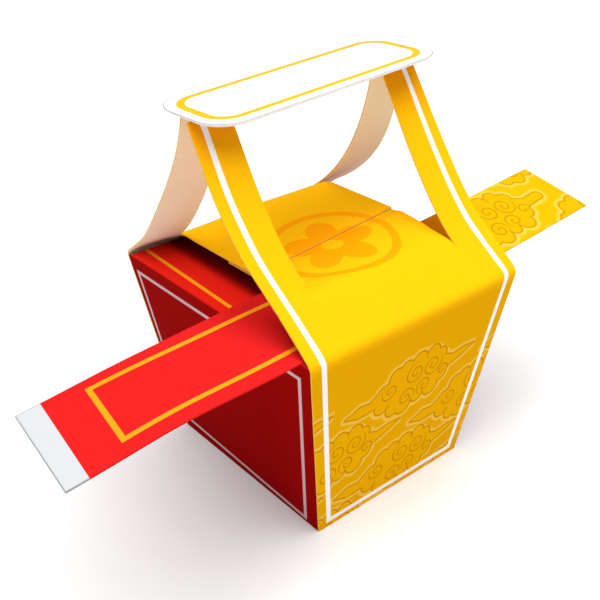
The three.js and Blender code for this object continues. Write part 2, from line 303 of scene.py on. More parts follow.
def distances_along(path, begin):
    """Each point of a path with its distance along the board."""
    steps = [(b - a).length for a, b in zip(path, path[1:])]
    return list(zip(path, np.cumsum([begin, *steps])))


def lay_out_print(sheet, walls, straps, tongue, side):
    marks = distances_along(walls, 0)
    crotch_at = marks[-1][1]
    marks += distances_along(straps, crotch_at) + distances_along(tongue, crotch_at)
    layer = sheet.data.uv_layers[0]
    layer.name = "flat"
    for loop in sheet.data.loops:
        place = sheet.data.vertices[loop.vertex_index].co / MM
        seen = Vector((-side * place.y, place.z))
        along = min(marks, key=lambda mark: (mark[0] - seen).length_squared)[1]
        layer.data[loop.index].uv = (side * place.x / 100, along / 100)


print("the wall widens by", round(wall_half(BOX_HEIGHT) / wall_half(0), 2))


# %% Build one sheet
def foot_row(name, side):
    """The row of edges along the wall's foot, with a vertex at each column."""
    sheet = start(name, bpy.ops.mesh.primitive_plane_add, size=1)
    select("VERT", lambda c: c.y > 0)
    bpy.ops.mesh.delete(type="VERT")
    select("VERT", lambda c: True)
    bpy.ops.transform.resize(value=(2 * BASE_HALF_X * MM, 1, 1))
    bpy.ops.transform.translate(value=(0, 0.5 - side * BASE_HALF_Y * MM, 0))
    for column in [0] + [sign * c for c in COLUMNS[1:] for sign in (-1, 1)]:
        select("EDGE", lambda c: True)
        at = column * BASE_HALF_X / TOP_HALF_X * MM
        bpy.ops.mesh.bisect(plane_co=(at, 0, 0), plane_no=(1, 0, 0))
    select("EDGE", lambda c: True)
    return sheet


def build_sheet(name, side, crotch, strap_path, tongue_end, tuck):
    sheet = foot_row(name, side)
    walls, straps = wall_path(crotch), strap_path(crotch)
    tongue = tongue_path(crotch, tongue_end, tuck)
    extrude_along(walls, side)

    def at_crotch(c):
        return abs(c.z - walls[-1].y) < 0.01 and abs(c.y + side * crotch) < 0.01

    stretches = (
        (straps, lambda x: x < -STRAP_INNER),
        (straps, lambda x: x > STRAP_INNER),
        (tongue, lambda x: abs(x) < TONGUE_HALF),
    )
    for path, is_inside in stretches:
        select("EDGE", lambda c: at_crotch(c) and is_inside(c.x))
        extrude_along(path, side)
    bpy.ops.object.mode_set(mode="OBJECT")
    lay_out_print(sheet, walls, straps, tongue, side)
    print(name, "has", len(sheet.data.vertices), "vertices before it gets a thickness")
    return sheet


# %% Both sheets, the far tongue on top of the near one
near_sheet = build_sheet(
    "near_sheet_board", 1, NEAR_CROTCH, near_strap_path, NEAR_TONGUE_END, TUCK
)
far_sheet = build_sheet("far_sheet_board", -1, FAR_CROTCH, far_strap_path, FAR_TONGUE_END, 0)

# %% [markdown]
# ## Small uneven moves
#
# Real board never folds quite evenly: a strap leans a little and a shoulder droops. Proportional
# editing would do it by hand, but short tables are easier to change. They say, at a few distances
# from the middle, how much higher the sheet lies where its cuts begin and how far its straps bow
# out on their way up. The near left strap leans outwards too, and the tongues' right edges rise.

# %% How uneven the sheets are
NEAR_LIFT = [(-60, 2.6), (-40, 0), (0, 0), (40, -1.9), (60, 2.2)]
FAR_LIFT = [(-60, 1.4), (-40, -2.4), (0, 0), (60, 0)]
NEAR_BOW = [(-60, -4.4), (-40, -2.5), (40, -1.6), (60, -0.8)]
FAR_BOW = [(-60, 4.2), (-40, 1.3), (40, -1.3), (60, -4.2)]
LEAN, LEAN_HEIGHT = 1.6, 132


def smoothstep(value, low, high):
    share = min(max((value - low) / (high - low), 0), 1)
    return share * share * (3 - 2 * share)


print("the near left corner lies", NEAR_LIFT[0][1], "mm higher")


# %% Move the board
def make_uneven(sheet, side, crotch, lift, bow, bow_peak, tilt_reach, lean=0):
    low = shoulder(crotch).y
    for vertex in sheet.data.vertices:
        x, y, z = vertex.co / MM
        out = -side * y
        is_tongue = abs(x) < TONGUE_HALF + 0.1 and z > BOX_HEIGHT + 1
        sag = np.interp(x, *zip(*lift))
        if is_tongue and out < crotch:
            free = smoothstep(crotch - out, 0, tilt_reach)
            z += sag * (1 - free) + x * TONGUE_TILT / TONGUE_HALF * free
        elif z <= low + 0.01:
            z += sag * smoothstep(z, BOX_HEIGHT, low)
        else:
            rise = smoothstep(z, low, STRAP_TOP)
            out += np.interp(x, *zip(*bow)) * math.sin(math.pi * rise**bow_peak)
            lean_here = lean * smoothstep(z, low, LEAN_HEIGHT) if x < 0 else 0
            x, y, z = x - lean_here, -side * out, z + sag * (1 - rise)
        vertex.co = Vector((x, y, z)) * MM


make_uneven(near_sheet, 1, NEAR_CROTCH, NEAR_LIFT, NEAR_BOW, 1, tilt_reach=30, lean=LEAN)
make_uneven(far_sheet, -1, FAR_CROTCH, FAR_LIFT, FAR_BOW, 0.5, tilt_reach=16)
print("the tongues tilt by", TONGUE_TILT, "mm at their edges")

# %% [markdown]
# ## Trim the straps
#
# The real straps are creased into the handle. Their ends could be worked out, but here they simply
# run a little too high on purpose, and a bisect along the underside of the handle plate cuts all
# four at once, each at its own slant.

# %% Where the handle plate is
PLATE_PLACE = (
    Matrix.Translation(PLATE_CENTRE * MM)
    @ Matrix.Rotation(PLATE_YAW, 4, "Z")
    @ Matrix.Rotation(-PLATE_ROLL, 4, "Y")
)
plate_up = (PLATE_PLACE.to_3x3() @ Vector((0, 0, 1))).normalized()
under_plate = PLATE_PLACE @ Vector((0, 0, -(1.5 * BOARD + 2 * GAP) * MM))
print("the handle plate faces", tuple(round(v, 3) for v in plate_up))

# %% Trim both sheets
for sheet, side in ((near_sheet, 1), (far_sheet, -1)):
    activate(sheet)
    bpy.ops.object.mode_set(mode="EDIT")
    bpy.ops.mesh.select_all(action="SELECT")
    bpy.ops.mesh.bisect(plane_co=under_plate, plane_no=plate_up, clear_outer=True)
    bpy.ops.object.mode_set(mode="OBJECT")
    face_one_way(
        sheet, lambda faces: min(faces, key=lambda face: face.center.z).normal.y * side > 0
    )
    print(sheet.name, "is trimmed to", len(sheet.data.polygons), "faces")

# %% [markdown]
# ## Shader maths as plain sums
#
# The real print is ink on board, with sharp edges. A picture of it would blur when seen from close
# by, so each line is worked out from where it lies on the board. That takes a long chain of Math
# nodes, which stays readable when it is written as Python expressions: one small class wraps a
# node's output, and adding or multiplying two of them adds the node.


# %% One class for shader maths
class Signal:
    def __init__(self, socket):
        self.socket = socket

    def node(self, kind, settings, inputs, output=0):
        """Any node in this value's material, with its settings set and its sockets fed."""
        tree = self.socket.id_data
        made = tree.nodes.new(kind)
        for key, value in settings.items():
            setattr(made, key, value)
        for key, value in inputs.items():
            if isinstance(value, Signal):
                tree.links.new(value.socket, made.inputs[key])
            else:
                made.inputs[key].default_value = value
        return Signal(made.outputs[output])

    def math(self, operation, *others, clamp=False):
        """One Math node on this value and up to two others."""
        settings = {"operation": operation, "use_clamp": clamp}
        return self.node("ShaderNodeMath", settings, dict(enumerate((self, *others))))

    def __add__(self, other):
        return self.math("ADD", other)

    def __sub__(self, other):
        return self.math("SUBTRACT", other)

    def __rsub__(self, other):
        return self.math("MULTIPLY_ADD", -1, other)

    def __mul__(self, other):
        return self.math("MULTIPLY", other)

    def __truediv__(self, other):
        return self.math("DIVIDE", other)

    __radd__ = __add__
    __rmul__ = __mul__

    def __abs__(self):
        return self.math("ABSOLUTE")

    def fraction(self):
        return self.math("FRACT")

    def least(self, other):
        return self.math("MINIMUM", other)

    def most(self, other):
        return self.math("MAXIMUM", other)

    def clamped(self):
        return self.math("ADD", 0, clamp=True)

    def under(self, limit, soft=0.12):
        """1 where the value is under the limit, 0 over it, and a soft step in between."""
        return ((limit - self) / soft + 0.5).clamped()

    def over(self, limit, soft=0.12):
        return 1 - self.under(limit, soft)

    def length(self, other):
        return (self * self + other * other).math("SQRT")

    def parts(self, scale):
        """The three numbers of a vector, each times the scale."""
        split = self.node("ShaderNodeSeparateXYZ", {}, {0: self}).socket.node
        return [Signal(output) * scale for output in split.outputs]

    def noise(self, scale, detail):
        inputs = {"Vector": self, "Scale": scale, "Detail": detail}
        return self.node("ShaderNodeTexNoise", {}, inputs)

    def mix(self, base, above):
        """base where this value is 0 and above where it is 1, both colours."""
        settings = {"data_type": "RGBA"}
        return self.node("ShaderNodeMix", settings, {0: self, 6: base, 7: above}, output=2)


print("shader maths ready")

# %% [markdown]
# ## Printed board
#
# Printed carton board is dull, and its fibres make the faintest grain in colour, gloss and height.
# A clear coat could be laid over the print, but this board shows no bright reflections. So every
# finish shares one function for the grain, and the gloss is nearly nothing.


# %% Finishes of board
def new_finish(name, gloss=0.002):
    """A material, its shader, and the places on the piece that its patterns are drawn in."""
    made = bpy.data.materials.new(name)
    made.use_nodes = True
    surface = made.node_tree.nodes["Principled BSDF"]
    surface.inputs["Specular IOR Level"].default_value = gloss
    places = Signal(surface.outputs[0]).node("ShaderNodeTexCoord", {}, {}, "Object")
    return made, surface, places


def finish_board(surface, places, colour, roughness=0.55, grain=0.25):
    """Colour with a faint mottle, and the fine fibre of board in roughness and bump."""
    fibre, mottle = places.noise(1400, 3), places.noise(60, 2)
    shade = {0: colour, "Scale": 0.985 + mottle * 0.03}
    tinted = places.node("ShaderNodeVectorMath", {"operation": "SCALE"}, shade)
    rough = roughness - 0.05 + fibre * 0.1
    relief = {"Height": fibre * 0.6 + mottle * 0.4, "Strength": grain, "Distance": 0.00006}
    bump = places.node("ShaderNodeBump", {}, relief)
    for value, socket in ((tinted, "Base Color"), (rough, "Roughness"), (bump, "Normal")):
        value.socket.id_data.links.new(value.socket, surface.inputs[socket])


def plain_board(name, scale, dark, light, detail=4, roughness=0.6, grain=0.5):
    """Board without print, flecked between two shades."""
    made, surface, places = new_finish(name)
    finish_board(surface, places, places.noise(scale, detail).mix(dark, light), roughness, grain)
    return made


# partly painted reflection: the board's pale back with a warm tint for light bounced off the yellow
# print
board_back_and_bounce = plain_board("board_back_and_bounce", 500, (0.9, 0.81, 0.61, 1), (0.95, 0.87, 0.68, 1))
board_edge = plain_board(
    "board_edge", 900, (0.8, 0.48, 0.06, 1), (0.86, 0.56, 0.12, 1), roughness=0.7, grain=0.6
)
white_back = plain_board("white_back", 500, (0.8, 0.79, 0.77, 1), (0.88, 0.87, 0.85, 1))
print("plain finishes:", board_back_and_bounce.name, board_edge.name, white_back.name)

# %% [markdown]
# ## The cloud
#
# Clouds like these are a traditional print: scalloped lobes with curls inside and a drawn-out tail
# at each side. One could be traced point by point, but a rule is shorter and sharper. A cloud is a
# union of circles, an ellipse and two chains of shrinking circles, so the distance to its outline
# is known everywhere. From that distance come the outline, the pale halo outside it and the fill.
# Each curl is a spiral: radius plus angle, wrapped once a turn.

# %% One cloud, in millimetres about its middle
# Lobes and tails are circles: x, y and radius. A curl has a turning and a first angle as well.
CLOUD_LOBES = [
    (-7.7, 8.2, 4.3), (-1.8, 10, 4.0), (5.9, 10.9, 4.5), (14.1, 11.6, 4.0), (19.1, 8.0, 4.0),
    (21.3, -3.4, 4.0), (15.9, -8.2, 4.7), (7.3, -9.1, 3.6), (-0.9, -10.9, 4.7), (-7.3, -10, 4.1),
    (-14.5, -5.2, 4.3), (-14, 1.5, 4.6),
]
LEFT_TAIL = [(-15, 0, 5.2), (-22, -2.0, 2.7), (-28, -1.6, 3.2), (-36, -1.8, 0.3)]
SHARP_TAIL = [(20, 1.5, 6.4), (28, 1.8, 2.7), (35, 3.6, 2.0), (42, 4.8, 0.2)]
BLUNT_TAIL = [(20, 1.5, 6.4), (28, 1.2, 2.6), (36.3, 2.2, 2.7)]
CLOUD_CURLS = [
    (4.5, 4.5, 6.0, 1, 100), (15, 4.5, 6.2, -1, 20), (-10.5, 1.2, 5.0, 1, 170),
    (0.5, -7.3, 5.2, 1, -10), (11.4, -5.5, 4.8, -1, 215), (22.4, -2.0, 3.9, 1, -20),
]
CURL_PITCH = 3.1
CLOUD_MIDDLE, CLOUD_HALF_X, CLOUD_HALF_Y = (3, 0.5), 19, 10.5
LINE_WIDTH, HALO_AWAY, HALO_WIDTH = 0.36, 1.35, 0.75
print(len(CLOUD_LOBES), "lobes and", len(CLOUD_CURLS), "curls in one cloud")


# %% Outline and curls of a cloud
def cloud_outline(x, y, right_tail):
    """Distance outside a cloud's outline."""
    across, up = (x - CLOUD_MIDDLE[0]) / CLOUD_HALF_X, (y - CLOUD_MIDDLE[1]) / CLOUD_HALF_Y
    outside = (across.length(up) - 1) * CLOUD_HALF_Y
    for cx, cy, radius in CLOUD_LOBES:
        outside = outside.least((x - cx).length(y - cy) - radius)
    for tail in (LEFT_TAIL, right_tail):
        for (ax, ay, ar), (bx, by, br) in zip(tail, tail[1:]):
            dx, dy = bx - ax, by - ay
            run = dx * dx + dy * dy
            share = ((x - ax) * (dx / run) + (y - ay) * (dy / run)).clamped()
            reach = (x - ax - share * dx).length(y - ay - share * dy)
            outside = outside.least(reach - ar - share * (br - ar))
    return outside


def cloud_curls(x, y):
    """1 where the line of a curl is drawn."""
    curls = None
    for cx, cy, radius, turn, begin in CLOUD_CURLS:
        across, up = x - cx, y - cy
        away = across.length(up)
        angle = up.math("ARCTAN2", across) / (turn * 2 * math.pi)
        begun = radius / CURL_PITCH + begin / 360 * turn
        wrapped = (away / CURL_PITCH + angle - begun + 40.5).fraction()
        line = (abs(wrapped - 0.5) * CURL_PITCH).under(LINE_WIDTH, 0.25) * away.under(radius, 0.3)
        curls = line if curls is None else curls.most(line)
    return curls


def print_clouds(ground, outside, curls, line_ink, halo_ink, fill_ink):
    """Lays fill, halo, outline and curls over the ground colour."""
    painted = outside.under(0, 0.4).mix(ground, fill_ink)
    halo = abs(outside - HALO_AWAY).under(HALO_WIDTH, 0.9)
    painted = (halo * 0.75).mix(painted, halo_ink)
    line = abs(outside).under(LINE_WIDTH, 0.25).most(curls * outside.under(0, 0.2))
    return (line * 0.85).mix(painted, line_ink)


print("a curl's turns lie", CURL_PITCH, "mm apart")

# %% [markdown]
# ## Yellow print and painted shade
#
# A white line runs along both edges of the sheet, up the wall and on along the straps, and across
# the foot of the wall. Clouds fill the lower wall in staggered rows. The middle of the tongues has
# a plain round flower as its ornament. The lines and clouds bend with the board, so they read the
# flat UV map. The flower runs across both tongues, so it reads the place in the room instead. The
# walls are painted a darker yellow as painted shade, and the straps a deeper orange towards the
# plate, also as painted shade.

# %% Inks, with painted shade for the walls and the strap tops
YELLOW = (0.9, 0.455, 0.004, 1)
# painted shade: a darker, oranger copy of the yellow for the walls, which are the same board
WALL_YELLOW_PAINTED_SHADE = (0.72, 0.348, 0.001, 1)
PAPER_WHITE = (0.86, 0.86, 0.86, 1)
ORNAMENT_ORANGE = (0.88, 0.33, 0.002, 1)
# painted shade: the darker orange that the straps turn under the handle plate
PAINTED_PLATE_SHADE_ORANGE = (0.7, 0.1, 0.001, 1)
WALL_CLOUD_INKS = ((0.48, 0.19, 0.001, 1), (0.8, 0.52, 0.08, 1), (0.75, 0.37, 0.001, 1))
print("inks of the yellow sheets:", YELLOW[:3], WALL_YELLOW_PAINTED_SHADE[:3], ORNAMENT_ORANGE[:3])

# %% Where clouds and flower lie
CLOUD_PERIOD = (85.4, 47.0)
TOP_CLOUD, TOP_ROW = (-2, 64.7), 10
BODY_REACH, TAIL_REACH, TAIL_HALF, TAIL_SLANT = (22, 15), 39, 2.2, 0.085
FLOWER_MIDDLE, HEART, PETAL_FROM, PETAL_LENGTH = (-1, -11.5), 5, 11.5, 10
RING_RADIUS, RING_HALF = 28, 2


def nearest_cloud(x, y):
    """Place about the middle of the nearest cloud in staggered rows, and that cloud's height."""
    wide, high = CLOUD_PERIOD
    even = [((x / wide + 0.5).fraction() - 0.5) * wide, ((y / high + 0.5).fraction() - 0.5) * high]
    odd = [((x / wide).fraction() - 0.5) * wide, ((y / high).fraction() - 0.5) * high]

    def reach(place):
        across, up = place
        wide_half, high_half = BODY_REACH
        from_body = ((across / wide_half).length(up / high_half) - 1) * high_half
        beyond_tails = (abs(across - CLOUD_MIDDLE[0]) - TAIL_REACH).most(0)
        from_tails = abs(up - across * TAIL_SLANT - 1) - TAIL_HALF
        return from_body.least(from_tails + beyond_tails)

    pick = (reach(odd) - reach(even)).under(0, 0.0001)
    local = [e + (o - e) * pick for e, o in zip(even, odd)]
    return local[0], local[1], y - local[1]


def flower(x, y):
    """A round ornament: five petals in a ring."""
    away = x.length(y)
    turn = y.math("ARCTAN2", x) * (5 / 2)
    petal = PETAL_FROM + abs(turn.math("COSINE")) * PETAL_LENGTH
    petals = (away - petal).under(0, 0.3) * away.over(HEART, 0.3)
    return petals.most(abs(away - RING_RADIUS).under(RING_HALF, 0.3))


print("a cloud every", CLOUD_PERIOD[0], "mm, rows", CLOUD_PERIOD[1] / 2, "mm apart")

# %% White lines of the yellow print
LINE_HALF, LINE_OUTER = 1.3, 1.4
FOOT_LINE, SIDE_LINES_BEGIN = 4.2, 3.0
LINE_AT_FOOT, LINE_AT_FOLD = 38.9, 53.7
WALL_LENGTH = math.hypot(TOP_HALF_Y - BASE_HALF_Y, BOX_HEIGHT)
yellow_print_and_painted_shade, surface, places = new_finish("yellow_print_and_painted_shade")
u, v, _ = places.node("ShaderNodeUVMap", {"uv_map": "flat"}, {}).parts(100)
climbed = (v / WALL_LENGTH).least(1)
from_line = abs(u) - (LINE_AT_FOOT + climbed * (LINE_AT_FOLD - LINE_AT_FOOT))
side_line = abs(from_line).under(LINE_HALF) * v.over(SIDE_LINES_BEGIN)
foot_line = abs(v - FOOT_LINE).under(LINE_HALF) * from_line.under(LINE_OUTER)
white_lines = side_line.most(foot_line)
print("the wall is", round(WALL_LENGTH, 1), "mm long on the flat board")

# %% Clouds, flower and painted shade near the plate
SHADE_FROM, SHADE_HEIGHT, SHADE_DEPTH = 158, 22, 0.55
TONGUES_UP, TONGUES_SPREAD = 118, 15
cloud_x, cloud_y, row = nearest_cloud(u - TOP_CLOUD[0], v - TOP_CLOUD[1])
above_rows = row.over(TOP_ROW, 0.1)
outside = cloud_outline(cloud_x, cloud_y, SHARP_TAIL) + above_rows * 100
on_wall = v.under(WALL_LENGTH - 3, 6)
# painted shade: the wall's ground is the darker yellow, and the rest of the sheet the lit yellow
ground = on_wall.mix(YELLOW, WALL_YELLOW_PAINTED_SHADE)
clouds = print_clouds(ground, outside, cloud_curls(cloud_x, cloud_y), *WALL_CLOUD_INKS)
yellow = on_wall.mix(ground, clouds)
px, py, pz = places.parts(1000)
on_tongues = v.over(BOX_HEIGHT) * abs(pz - TONGUES_UP).under(TONGUES_SPREAD)
ornament = flower(px - FLOWER_MIDDLE[0], py - FLOWER_MIDDLE[1]) * on_tongues
yellow = ornament.mix(yellow, ORNAMENT_ORANGE)
# painted shade: the straps darken to orange towards the plate, where the plate shades them
painted_plate_shade = ((pz - SHADE_FROM) / SHADE_HEIGHT).clamped() * SHADE_DEPTH
yellow = painted_plate_shade.mix(yellow, PAINTED_PLATE_SHADE_ORANGE)
finish_board(surface, places, white_lines.mix(yellow, PAPER_WHITE))
print(len(yellow_print_and_painted_shade.node_tree.nodes), "nodes in the yellow print")

# %% [markdown]
# ## Thickness of the yellow sheets
#
# Real board has a printed face, a raw back and a cut edge that shows its fibres. Solidify makes all
# three from the printed face alone, and gives the back and the edge their own finish.

# %% Thicken the yellow sheets
for sheet, node in ((near_sheet, "near_sheet"), (far_sheet, "far_sheet")):
    for finish in (yellow_print_and_painted_shade, board_back_and_bounce, board_edge):
        sheet.data.materials.append(finish)
    apply_modifier(
        sheet, "SOLIDIFY", thickness=BOARD * MM, offset=-1, use_even_offset=True,
        material_offset=1, material_offset_rim=2,
    )
    finish_piece(sheet, node, 40)

# %% [markdown]
# ## Red print and painted shading
#
# The board is one red, but the walls are painted a darker red as painted shade and the flaps on
# top a brighter red as painted light. A thin pale frame runs inside each wall. An orange line runs
# along each flap, and under the tongues the flaps are painted dark red as painted shade. A frame
# could be four strips, but the distance inside an outline gives all its sides and corners at once.


# %% Distances from lines
def beside(x, y, a, b):
    """Distance to the left of the line from a to b."""
    dx, dy = b[0] - a[0], b[1] - a[1]
    run = math.hypot(dx, dy)
    return x * (-dy / run) + y * (dx / run) + (a[0] * dy - a[1] * dx) / run


def inside_of(x, y, corners, closed=True):
    """Distance inside a convex outline whose corners go round to the left."""
    ends = corners[1:] + corners[:1] if closed else corners[1:]
    depth = None
    for a, b in zip(corners, ends):
        side = beside(x, y, a, b)
        depth = side if depth is None else depth.least(side)
    return depth


print("a convex outline is the least of its sides")

# %% Red print and painted shading
RED = (0.62, 0.014, 0.014, 1)
# painted shade: the walls get a darker copy of the board's one red
WALL_RED_PAINTED_SHADE = (0.3, 0.002, 0.002, 1)
# painted light: the flaps get a brighter copy of the same red
FLAP_RED_PAINTED_LIGHT = (0.73, 0.016, 0.008, 1)
# painted shade: the dark red of the flaps under the tongues
PAINTED_SHADE_RED = (0.2, 0.002, 0.002, 1)
PALE_PINK = (0.62, 0.42, 0.43, 1)
ORANGE_LINE = (0.85, 0.3, 0.01, 1)
WALL_FRAME = [(-44.6, 1.8), (50.4, 5.6), (60.2, 92.0), (-58.2, 91.6)]
FLAP_LINE_AT, FLAP_LINE_SLANT, RED_LINE_HALF = 54.6, 0.0375, 0.95
FLAPS_FROM, PAINTED_SHADE_WITHIN = 98.6, 41
red_print_and_painted_shading, surface, places = new_finish("red_print_and_painted_shading")
px, py, pz = places.parts(1000)
on_flap = pz.over(FLAPS_FROM, 0.8)
wall_frame = abs(inside_of(py, pz, WALL_FRAME) - 0.9).under(RED_LINE_HALF) * abs(px).over(40)
flap_line = abs(abs(px) - FLAP_LINE_AT + py * FLAP_LINE_SLANT).under(RED_LINE_HALF)
# painted light and shade: brighter red on the flaps, darker red on the walls
red = on_flap.mix(WALL_RED_PAINTED_SHADE, FLAP_RED_PAINTED_LIGHT)
red = (wall_frame * (1 - on_flap)).mix(red, PALE_PINK)
red = (flap_line * on_flap).mix(red, ORANGE_LINE)
# painted shade: the flaps go dark red under the tongues, where the tongues shade them
red = abs(px).under(PAINTED_SHADE_WITHIN, 6).mix(red, PAINTED_SHADE_RED)
finish_board(surface, places, red)
body.data.materials.append(red_print_and_painted_shading)
print(len(red_print_and_painted_shading.node_tree.nodes), "nodes in the red print")

# %% [markdown]
# ## Belt
#
# The real belt is one long flat strip that isn't quite a rectangle, and it rises a little here and
# there. A plane could be stretched to its size, but it needs steps along its length to rise. So the
# left edge of a plane is extruded to the right, and then each step goes to its place.

# %% The belt's corners and rises
# A rise has its place along x, its spread, and its height at the near and at the far edge.
BELT_HEIGHT = BOX_HEIGHT + 0.2 + BOARD
NEAR_LEFT, NEAR_RIGHT = Vector((-160.5, -68.6, BELT_HEIGHT)), Vector((140.5, -46.2, BELT_HEIGHT))
FAR_LEFT, FAR_RIGHT = Vector((-155.5, -22.4, BELT_HEIGHT)), Vector((157.8, 5.2, BELT_HEIGHT))
BELT_RISES = [(-115, 32, 2.0, 1.3), (-52, 50, 0.0, 2.4), (160, 50, 1.2, 1.2)]
BELT_STEPS, STEP, FIRST_EDGE = 48, 20, -500
print("the belt is", round((NEAR_RIGHT - NEAR_LEFT).length), "mm along its near edge")

# %% Belt
belt = start("belt_board", bpy.ops.mesh.primitive_plane_add, size=1)
select("VERT", lambda c: c.x > 0)
bpy.ops.mesh.delete(type="VERT")
select("EDGE", lambda c: True)
bpy.ops.mesh.subdivide(number_cuts=3)
for step in range(BELT_STEPS):
    select("EDGE", lambda c: abs(c.x - (FIRST_EDGE + step * STEP)) < 1)
    bpy.ops.mesh.extrude_region_move(TRANSFORM_OT_translate={"value": (STEP * MM, 0, 0)})
bpy.ops.object.mode_set(mode="OBJECT")
for vertex in belt.data.vertices:
    along = (vertex.co.x / MM - FIRST_EDGE) / (BELT_STEPS * STEP)
    across = vertex.co.y + 0.5
    place = NEAR_LEFT.lerp(NEAR_RIGHT, along).lerp(FAR_LEFT.lerp(FAR_RIGHT, along), across)
    for x, spread, near_by, far_by in BELT_RISES:
        fade = math.exp(-(((place.x - x) / spread) ** 2))
        place.z += (near_by + (far_by - near_by) * across) * fade
    vertex.co = place * MM
face_one_way(belt, lambda faces: faces[0].normal.z < 0)
print(len(belt.data.polygons), "faces on the belt before it gets a thickness")

# %% [markdown]
# ## Belt print and painted shade
#
# The left end is red with an orange frame that runs on under the sheets, and past it lies a bare
# strip for glue. The right end is yellow with three of the clouds, leaning with the belt's slant.
# Where the sheets cover it, it is painted dark brown as painted shade. The belt is nearly flat, so
# it
# needs no UV map: the print reads the place in the room.

# %% Red end of the belt
GLUE_WHITE, GLUE_EDGE = (0.53, 0.55, 0.57, 1), (0.3, 0.31, 0.32, 1)
BELT_FRAME = [(-45.3, -19.7), (-130.5, -25.2), (-135.9, -60.2), (-57.3, -53.7)]
BELT_LINE_HALF, EDGE_WIDTH = 1.1, 0.35
GLUE_LINE = ((-151.9, -68), (-145.9, -21.5))
belt_print_and_painted_shade, surface, places = new_finish("belt_print_and_painted_shade")
px, py, _ = places.parts(1000)
inside_frame = inside_of(px, py, BELT_FRAME, closed=False)
frame_line = abs(inside_frame - BELT_LINE_HALF).under(BELT_LINE_HALF)
from_edges = inside_of(px, py, [NEAR_LEFT, NEAR_RIGHT, FAR_RIGHT, FAR_LEFT])
glue = from_edges.under(EDGE_WIDTH, 0.2).mix(GLUE_WHITE, GLUE_EDGE)
is_printed = beside(px, py, *GLUE_LINE).under(0)
red_end = is_printed.mix(glue, frame_line.mix(RED, ORANGE_LINE))
print(len(belt_print_and_painted_shade.node_tree.nodes), "nodes in the red end")

# %% Yellow end of the belt
# painted shade: the dark brown where the sheets shade the belt's yellow end
BELT_YELLOW, PAINTED_SHADE_BROWN = (0.66, 0.4, 0.002, 1), (0.36, 0.1, 0.001, 1)
BELT_CLOUD_INKS = ((0.44, 0.22, 0.002, 1), (0.8, 0.51, 0.08, 1), (0.65, 0.385, 0.002, 1))
BELT_CLOUDS = [(89.5, -25), (136.4, -53.2), (151, 17)]
WIDER, HIGHER, SLANT = 1.15, 1.46, 0.56
PAINTED_SHADE_EDGE, YELLOW_FROM = ((92, 2), (66, -50)), 8
outside, curls = None, None
for middle_x, middle_y in BELT_CLOUDS:
    cloud_y = (py - middle_y) / HIGHER
    cloud_x = (px - middle_x - cloud_y * SLANT) / WIDER
    next_outside = cloud_outline(cloud_x, cloud_y, BLUNT_TAIL)
    next_curls = cloud_curls(cloud_x, cloud_y)
    outside = next_outside if outside is None else outside.least(next_outside)
    curls = next_curls if curls is None else curls.most(next_curls)
yellow_end = print_clouds(BELT_YELLOW, outside, curls, *BELT_CLOUD_INKS)
# painted shade: dark brown on the belt beyond this line, where the sheets shade it
painted_shade_under_sheets = beside(px, py, *PAINTED_SHADE_EDGE).under(0, 3)
yellow_end = painted_shade_under_sheets.mix(yellow_end, PAINTED_SHADE_BROWN)
finish_board(surface, places, px.over(YELLOW_FROM).mix(red_end, yellow_end))
print(len(belt_print_and_painted_shade.node_tree.nodes), "nodes in the belt print")

# %% Thicken the belt
for finish in (belt_print_and_painted_shade, white_back):
    belt.data.materials.append(finish)
apply_modifier(belt, "SOLIDIFY", thickness=BOARD * MM, offset=-1, material_offset=1)
finish_piece(belt, "belt_strip")

# %% [markdown]
# ## Handle plate
#
# The real handle is two layers of white board with round corners, locked by a slit at each end. A
# curve could be filled, but a plane is quicker: it is stretched, has its corners bevelled round and
# is extruded. Thin blades then cut the slits.


# %% One layer of the plate
def plate_layer(name, inset, height):
    layer = start(name, bpy.ops.mesh.primitive_plane_add, size=1)
    bpy.ops.mesh.select_all(action="SELECT")
    size = ((PLATE_LENGTH - 2 * inset) * MM, (PLATE_WIDTH - 2 * inset) * MM, 1)
    bpy.ops.transform.resize(value=size)
    bpy.ops.mesh.bevel(offset=(PLATE_CORNER - inset) * MM, segments=14, affect="VERTICES")
    bpy.ops.mesh.extrude_region_move(TRANSFORM_OT_translate={"value": (0, 0, BOARD * MM)})
    bpy.ops.mesh.select_all(action="SELECT")
    bpy.ops.transform.translate(value=(0, 0, height * MM))
    bpy.ops.mesh.normals_make_consistent(inside=False)
    bpy.ops.object.mode_set(mode="OBJECT")
    return layer


LOWER_INSET = 1.2
upper_plate = plate_layer("upper_plate", 0, -BOARD / 2)
lower_plate = plate_layer("lower_plate", LOWER_INSET, -1.5 * BOARD - GAP)
print("plate", PLATE_LENGTH, "by", PLATE_WIDTH, "mm")

# %% Slits at both ends
SLIT_LENGTH, SLIT_WIDTH, SLIT_OFFSET = 7.5, 0.5, -1.3
for end in (-1, 1):
    bpy.ops.object.select_all(action="DESELECT")
    blade_place = (end * PLATE_LENGTH / 2 * MM, SLIT_OFFSET * MM, 0)
    bpy.ops.mesh.primitive_cube_add(size=1, location=blade_place)
    blade = bpy.context.object
    blade.scale = (2 * SLIT_LENGTH * MM, SLIT_WIDTH * MM, 8 * MM)
    apply_modifier(upper_plate, "BOOLEAN", operation="DIFFERENCE", object=blade, solver="EXACT")
    bpy.data.objects.remove(blade)
print(len(upper_plate.data.polygons), "faces with the slits")

# %% Put both layers in place
RIM_ROUND = 0.12
for layer in (upper_plate, lower_plate):
    apply_modifier(layer, "BEVEL", width=RIM_ROUND * MM, segments=2, limit_method="ANGLE")
    layer.data.transform(PLATE_PLACE)
    layer_height = sum(vertex.co.z for vertex in layer.data.vertices) / len(layer.data.vertices)
    print(layer.name, "lies", round(layer_height / MM, 1), "mm up")

